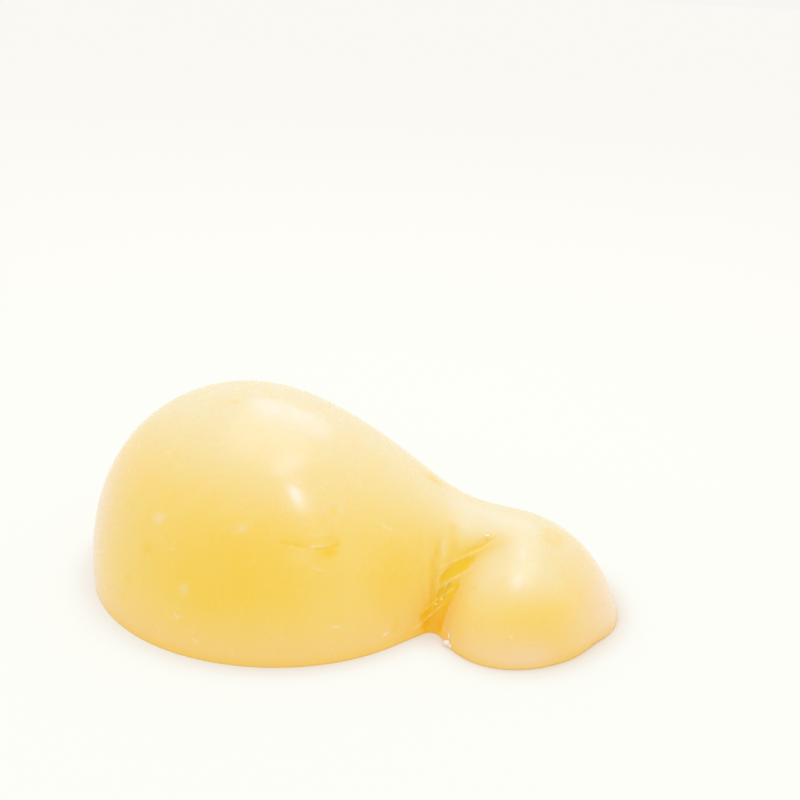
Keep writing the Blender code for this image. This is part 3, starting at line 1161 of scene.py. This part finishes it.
@dataclass(frozen=True)
class EyeWall:
    """The smooth wall of an eye, deeper and glossier than the paste."""

    colour: Colour = (0.80, 0.52, 0.03)
    light: Colour = (0.86, 0.62, 0.08)
    clouds: Mottle = Mottle(1.5, 3, 0.6, 0.35, 0.65)
    relief: Relief = Relief(0.02, 0.8, 2, 0.5)

    def material(self) -> bpy.types.Material:
        """Makes the material."""
        recipe = Recipe("eye_wall")
        return recipe.dressed({
            "Base Color": recipe.tint(self.colour, (self.light, recipe.patches(self.clouds))),
            "Normal": recipe.raised(self.relief),
            "Roughness": 0.25,
        })


@dataclass(frozen=True)
class CrumbWhite:
    """A dry crumb of curd."""

    colour: Colour = (0.96, 0.91, 0.84)
    shade: Colour = (0.95, 0.84, 0.72)
    clouds: Mottle = Mottle(0.6, 3, 0.6, 0.4, 0.7)
    relief: Relief = Relief(0.02, 0.3, 2, 0.6)

    def material(self) -> bpy.types.Material:
        """Makes the material."""
        recipe = Recipe("dry_crumb")
        return recipe.dressed({
            "Base Color": recipe.tint(self.colour, (self.shade, recipe.patches(self.clouds))),
            "Normal": recipe.raised(self.relief),
            "Roughness": 0.6,
            "Subsurface Weight": 0.1,
            "Subsurface Scale": 0.001,
        })


@dataclass
class HalfCheese:
    """The cheese itself: skin, cut face and eyes in one mesh."""

    name: str = "cut_caciocavallo"
    detail: RindDetail = RindDetail()
    eyes: Eyes = Eyes()
    cell: float = 1.45
    lobe_segments: int = 96
    relax_rounds: int = 6
    relax_share: float = 0.5
    settle_steps: int = 6
    relax_steps: int = 2
    spare_below: float = 7.0
    rim_snap: float = 0.4
    rim_round: float = 0.3
    score: float = 2.5
    finish_rind: WaxyRind = WaxyRind()
    finish_paste: CutPaste = CutPaste()
    finish_eye: EyeWall = EyeWall()
    flatness: float = 0.02

    def settle(self, mesh: bmesh.types.BMesh, steps: int) -> None:
        """Moves every vertex onto the skin, and keeps the rim in the plane of the cut face."""
        points = np.array([vertex.co for vertex in mesh.verts])
        flat = np.abs(points[:, 2]) < TINY
        for vertex, point in zip(mesh.verts, self.detail.skin.settled(points, flat, steps)):
            vertex.co = point

    def rough(self) -> bmesh.types.BMesh:
        """Joins the three lobes by voxels into one even, closed mesh."""
        lobes = bmesh.new()
        for lobe in self.detail.skin.lobes():
            bmesh.ops.create_uvsphere(
                lobes, u_segments=self.lobe_segments, v_segments=self.lobe_segments // 2,
                radius=1, matrix=lobe.matrix(),
            )
        helper = mesh_object(lobes, "rough_skin")
        voxels = helper.modifiers.new("voxels", "REMESH")
        voxels.mode = "VOXEL"
        voxels.voxel_size = self.cell
        return evaluated(helper)

    def drop_below(self, mesh: bmesh.types.BMesh, height: float) -> None:
        """Cuts the body level at a height and drops what is below, which leaves it open there."""
        bmesh.ops.bisect_plane(
            mesh, geom=mesh.verts[:] + mesh.edges[:] + mesh.faces[:], dist=self.flatness,
            plane_co=(0, 0, height), plane_no=(0, 0, -1), clear_outer=True,
        )

    def cut(self, mesh: bmesh.types.BMesh) -> None:
        """Cuts the body at the plane of the cut face, with its rim exactly in that plane."""
        for vertex in mesh.verts:
            if abs(vertex.co.z) < self.rim_snap * self.cell:
                vertex.co.z = 0
        self.drop_below(mesh, 0)
        for vertex in mesh.verts:
            if abs(vertex.co.z) < self.flatness:
                vertex.co.z = 0

    def refine(self, mesh: bmesh.types.BMesh) -> None:
        """Halves the edges, once or twice, where the rind has fine detail."""
        for wanted in (1, 2):
            points = np.array([vertex.co for vertex in mesh.verts])
            level = self.detail.fineness(points)
            mesh.verts.index_update()
            edges = [
                edge for edge in mesh.edges if min(level[vertex.index] for vertex in edge.verts) >= wanted
            ]
            bmesh.ops.subdivide_edges(mesh, edges=edges, cuts=1, use_grid_fill=True)

    def emboss(self, mesh: bmesh.types.BMesh) -> None:
        """Presses the fine relief into the skin."""
        points = np.array([vertex.co for vertex in mesh.verts])
        slope = self.detail.skin.slope(points)
        slope /= np.maximum(np.linalg.norm(slope, axis=1), TINY)[:, None]
        moved = points - slope * self.detail.relief(points)[:, None]
        moved[np.abs(points[:, 2]) < TINY, 2] = 0
        for vertex, point in zip(mesh.verts, moved):
            vertex.co = point

    def close(self, mesh: bmesh.types.BMesh) -> None:
        """Fills the cut face, rounds its rim a little and scores it into small squares."""
        rim = [edge for edge in mesh.edges if edge.is_boundary]
        bmesh.ops.holes_fill(mesh, edges=rim, sides=0)
        bmesh.ops.bevel(
            mesh, geom=rim, offset=self.rim_round, offset_type="OFFSET", affect="EDGES",
            segments=2, profile=0.5, material=-1, clamp_overlap=True,
        )
        for axis in (0, 1):
            normal = Vector((0, 0, 0))
            normal[axis] = 1
            values = [vertex.co[axis] for vertex in mesh.verts]
            for step in np.arange(min(values) + self.score, max(values), self.score):
                low = [face for face in mesh.faces if max(vertex.co.z for vertex in face.verts) < TINY]
                geometry = set(low)
                for face in low:
                    geometry.update(face.verts)
                    geometry.update(face.edges)
                bmesh.ops.bisect_plane(
                    mesh, geom=list(geometry), dist=self.flatness, plane_co=normal * step, plane_no=normal
                )

    def body(self) -> bmesh.types.BMesh:
        """Makes the closed half body, without its eyes, in millimetres."""
        mesh = self.rough()
        self.drop_below(mesh, -self.spare_below)
        self.settle(mesh, self.settle_steps)
        for _ in range(self.relax_rounds):
            bmesh.ops.smooth_vert(
                mesh, verts=mesh.verts, factor=self.relax_share,
                use_axis_x=True, use_axis_y=True, use_axis_z=True,
            )
            self.settle(mesh, self.relax_steps)
        self.cut(mesh)
        self.refine(mesh)
        self.settle(mesh, self.settle_steps)
        self.emboss(mesh)
        self.close(mesh)
        bmesh.ops.recalc_face_normals(mesh, faces=mesh.faces)
        for face in mesh.faces:
            face.smooth = True
            flat = max(vertex.co.z for vertex in face.verts) < TINY
            face.material_index = Surface.PASTE.value if flat else Surface.RIND.value
        return mesh

    def with_eyes(self, mesh: bmesh.types.BMesh) -> bmesh.types.BMesh:
        """Opens the eyes in the cut face."""
        helper = mesh_object(mesh, "body_without_eyes")
        cutters = mesh_object(self.eyes.cutters(), "eye_cutters")
        for item in (helper, cutters):
            for kind in Surface:
                item.data.materials.append(bpy.data.materials.new(kind.name.lower()))
        boolean = helper.modifiers.new("eyes", "BOOLEAN")
        boolean.operation = "DIFFERENCE"
        boolean.solver = "EXACT"
        boolean.object = cutters
        cheese = evaluated(helper)
        data = cutters.data
        bpy.data.objects.remove(cutters)
        bpy.data.meshes.remove(data)
        return cheese

    def build(self) -> bpy.types.Object:
        """Builds and dresses the cheese.

        Returns:
            The finished piece, in metres, in place of the frame's solid.
        """
        mesh = self.with_eyes(self.body())
        points = np.array([vertex.co for vertex in mesh.verts])
        marks = self.detail.marks(points)
        piece = mesh_object(in_metres(mesh), self.name)
        for mark, values in marks.items():
            attribute = piece.data.attributes.new(mark.value, "FLOAT", "POINT")
            attribute.data.foreach_set("value", values.astype(np.float32))
        piece.data.materials.clear()
        for finish in (self.finish_rind, self.finish_paste, self.finish_eye):
            piece.data.materials.append(finish.material())
        piece.data.set_sharp_from_angle(angle=radians(50))
        settle_in_frame(piece, NODE)
        return piece


@dataclass
class Crumbs:
    """A few dry crumbs of curd that cling where the head meets the crease."""

    name: str = "curd_crumbs"
    places: tuple[tuple[Point, Point], ...] = (
        ((85.3, -35.6, 1.2), (1.7, 1.0, 1.05)),
        ((87.0, -36.7, 0.9), (1.1, 0.8, 0.7)),
        ((85.6, -34.5, 3.9), (0.4, 0.35, 1.4)),
        ((92.5, -2.5, 32.2), (0.8, 0.6, 0.35)),
        ((79.5, -22.9, 12.2), (0.35, 0.3, 0.3)),
        ((77.9, -24.2, 10.3), (0.45, 0.3, 0.25)),
    )
    jitter: float = 0.12
    seed: int = 3
    finish: CrumbWhite = CrumbWhite()

    def build(self) -> bpy.types.Object:
        """Builds and dresses the crumbs."""
        draw = Random(self.seed)
        mesh = bmesh.new()
        for centre, radii in self.places:
            placed = Matrix.Translation(centre) @ Matrix.Diagonal((*radii, 1))
            made = bmesh.ops.create_icosphere(mesh, subdivisions=3, radius=1, matrix=placed)
            for vertex in made["verts"]:
                away = vertex.co - Vector(centre)
                vertex.co = Vector(centre) + away * (1 + self.jitter * (draw.random() - 0.5))
        for face in mesh.faces:
            face.smooth = True
        piece = mesh_object(in_metres(mesh), self.name)
        piece.data.materials.append(self.finish.material())
        settle_in_frame(piece)
        return piece


@dataclass(frozen=True)
class Lamp:
    """A soft light with a square-cornered face.

    Its place and aim are in millimetres about the ball's middle, and its size, along and across, in metres.
    """

    name: str
    place: Point
    aim: Point
    size: tuple[float, float]
    power: float
    tone: Colour = (1.0, 1.0, 1.0)
    along: Point = (1.0, 0.0, 0.0)
    spread: float = pi
    only_gloss: bool = False

    def build(self) -> bpy.types.Object:
        """Hangs the light.

        Returns:
            The light, pointing at its aim with its length along the given direction.
        """
        light = bpy.data.lights.new(self.name, "AREA")
        light.shape = "RECTANGLE"
        light.size, light.size_y = self.size
        light.energy = self.power
        light.color = self.tone
        light.spread = self.spread
        back = (in_frame(self.place) - in_frame(self.aim)).normalized()
        across = back.cross(Vector(self.along)).normalized()
        turned = Matrix((across.cross(back), across, back)).transposed().to_4x4()
        lamp = bpy.data.objects.new(self.name, light)
        lamp.matrix_world = Matrix.Translation(in_frame(self.place)) @ turned
        lamp.visible_camera = False
        lamp.visible_diffuse = not self.only_gloss
        bpy.context.scene.collection.objects.link(lamp)
        return lamp


@dataclass
class Studio:
    """The plain pale floor, the soft light and the camera."""

    near_tone: Colour = (0.965, 0.974, 0.935)
    far_tone: Colour = (0.972, 0.963, 0.929)
    near_reach: float = 0.15
    far_reach: float = 0.7
    # Painted contact shadow on the glowing floor: its colour, its reach, and the span over which it
    # strengthens towards the head's side
    contact_shadow_tone: Colour = (0.80, 0.66, 0.54)
    contact_shadow_reach: float = 0.016
    contact_shadow_side: tuple[float, float] = (-0.09, 0.02)
    floor_glow: float = 0.72
    floor_reach: float = 40.0
    floor_segments: int = 64
    world_strength: float = 0.96
    camera_place: Point = (147.63, -395.07, 236.91)
    camera_heading: float = 0.2345
    camera_tilt: float = pi / 2 - 0.36098
    camera_roll: float = 0.05239
    camera_lens: float = 49.837
    lamps: tuple[Lamp, ...] = (
        Lamp("softbox", (20.0, 351.0, 1150.0), (36.0, 0.0, 0.0), (0.7, 0.7), 2.4),
        Lamp(
            "rear_card", (8.0, 595.0, 604.0), (8.0, 0.0, 70.0), (0.4, 0.3), 1.35, COOL,
            (1.0, 0.0, -0.45), only_gloss=True,
        ),
        Lamp(
            "ball_strip", (138.0, -54.0, 329.0), (24.0, -35.0, 51.0), (0.06, 0.022), 0.0065, COOL,
            (0.12, -0.09, -0.05), radians(34), True,
        ),
        Lamp(
            "head_strip", (77.0, 34.0, 315.0), (109.0, -22.0, 26.5), (0.11, 0.016), 0.020, COOL,
            (0.25, 0.96, -0.09), radians(60), True,
        ),
    )

    def floor(self) -> bpy.types.Object:
        """Makes the floor, a wide disc that glows a little, with a painted contact shadow close to the
        cheese.
        """
        mesh = bmesh.new()
        bmesh.ops.create_circle(mesh, cap_ends=True, segments=self.floor_segments, radius=self.floor_reach)
        floor = mesh_object(mesh, "pale_floor")
        recipe = Recipe("pale_floor")
        away = recipe.add("ShaderNodeVectorMath", {0: recipe.where}, operation="LENGTH").outputs["Value"]
        across = recipe.add("ShaderNodeSeparateXYZ", {"Vector": recipe.where}).outputs["X"]
        open_air = recipe.add("ShaderNodeAmbientOcclusion", {"Distance": self.contact_shadow_reach}, samples=16)
        shadow_share = recipe.ramp(open_air.outputs["AO"], 1.0, 0.5)
        # Painted shadow: the glowing floor is darkened where the cheese closes it in, more so on the head's
        # side
        tone = recipe.tint(
            self.near_tone,
            (self.far_tone, recipe.ramp(away, self.near_reach, self.far_reach)),
            (self.contact_shadow_tone, recipe.times(shadow_share, recipe.ramp(across, *self.contact_shadow_side, 0.3, 1.0))),
        )
        floor.data.materials.append(recipe.dressed({
            "Base Color": recipe.tint((0.0, 0.0, 0.0), (tone, 1 - self.floor_glow)),
            "Emission Color": tone,
            "Emission Strength": self.floor_glow,
            "Roughness": 1.0,
            "Specular IOR Level": 0.0,
        }))
        return floor

    def world(self) -> None:
        """Makes the white surroundings."""
        world = bpy.data.worlds.new("white_room")
        world.use_nodes = True
        background = world.node_tree.nodes["Background"]
        background.inputs["Color"].default_value = (*self.far_tone, 1.0)
        background.inputs["Strength"].default_value = self.world_strength
        bpy.context.scene.world = world

    def camera(self) -> bpy.types.Object:
        """Sets up the camera."""
        data = bpy.data.cameras.new("camera")
        data.lens = self.camera_lens
        data.sensor_width = 36.0
        camera = bpy.data.objects.new("camera", data)
        turned = Matrix.Rotation(self.camera_heading, 4, "Z") @ Matrix.Rotation(self.camera_tilt, 4, "X")
        turned = turned @ Matrix.Rotation(self.camera_roll, 4, "Z")
        camera.matrix_world = Matrix.Translation(in_frame(self.camera_place)) @ turned
        bpy.context.scene.collection.objects.link(camera)
        bpy.context.scene.camera = camera
        return camera

    def build(self) -> None:
        """Sets up the whole studio."""
        self.floor()
        self.world()
        for lamp in self.lamps:
            lamp.build()
        self.camera()
        bpy.context.scene.view_settings.view_transform = "Standard"


def in_frame(place: Point) -> Vector:
    """Turns millimetres about the ball's middle into metres in the frame."""
    return (Vector(place) - Vector((*FOOTPRINT_MIDDLE, 0))) * MM


def mesh_object(mesh: bmesh.types.BMesh, name: str) -> bpy.types.Object:
    """Puts a bmesh into a new object in the scene, and frees it."""
    data = bpy.data.meshes.new(name)
    mesh.to_mesh(data)
    mesh.free()
    made = bpy.data.objects.new(name, data)
    bpy.context.scene.collection.objects.link(made)
    return made


def evaluated(helper: bpy.types.Object) -> bmesh.types.BMesh:
    """Gives a helper's mesh with its modifiers applied, and removes the helper."""
    bpy.context.view_layer.update()
    mesh = bmesh.new()
    mesh.from_object(helper, bpy.context.evaluated_depsgraph_get())
    data = helper.data
    bpy.data.objects.remove(helper)
    bpy.data.meshes.remove(data)
    return mesh


def in_metres(mesh: bmesh.types.BMesh) -> bmesh.types.BMesh:
    """Moves a mesh's origin to the middle of the footprint and scales it from millimetres to metres."""
    bmesh.ops.translate(mesh, verts=mesh.verts, vec=(-FOOTPRINT_MIDDLE[0], -FOOTPRINT_MIDDLE[1], 0))
    bmesh.ops.scale(mesh, verts=mesh.verts, vec=(MM, MM, MM))
    return mesh


def settle_in_frame(piece: bpy.types.Object, *nodes: str) -> None:
    """Ties a finished piece to the frame.

    Args:
        piece: the finished piece.
        nodes: the frame's solids that it stands for.
    """
    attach(piece, BODY)
    if nodes:
        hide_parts(*nodes)


def main() -> None:
    """Builds the studio and the cheese, and reports each piece."""
    logging.basicConfig(level=logging.INFO, format="%(message)s")
    Studio().build()
    for part in (HalfCheese(), Crumbs()):
        piece = part.build()
        piece.data.calc_loop_triangles()
        triangles = len(piece.data.loop_triangles)
        LOG.info("%s: %d vertices, %d triangles", piece.name, len(piece.data.vertices), triangles)


if __name__ == "__main__":
    main()
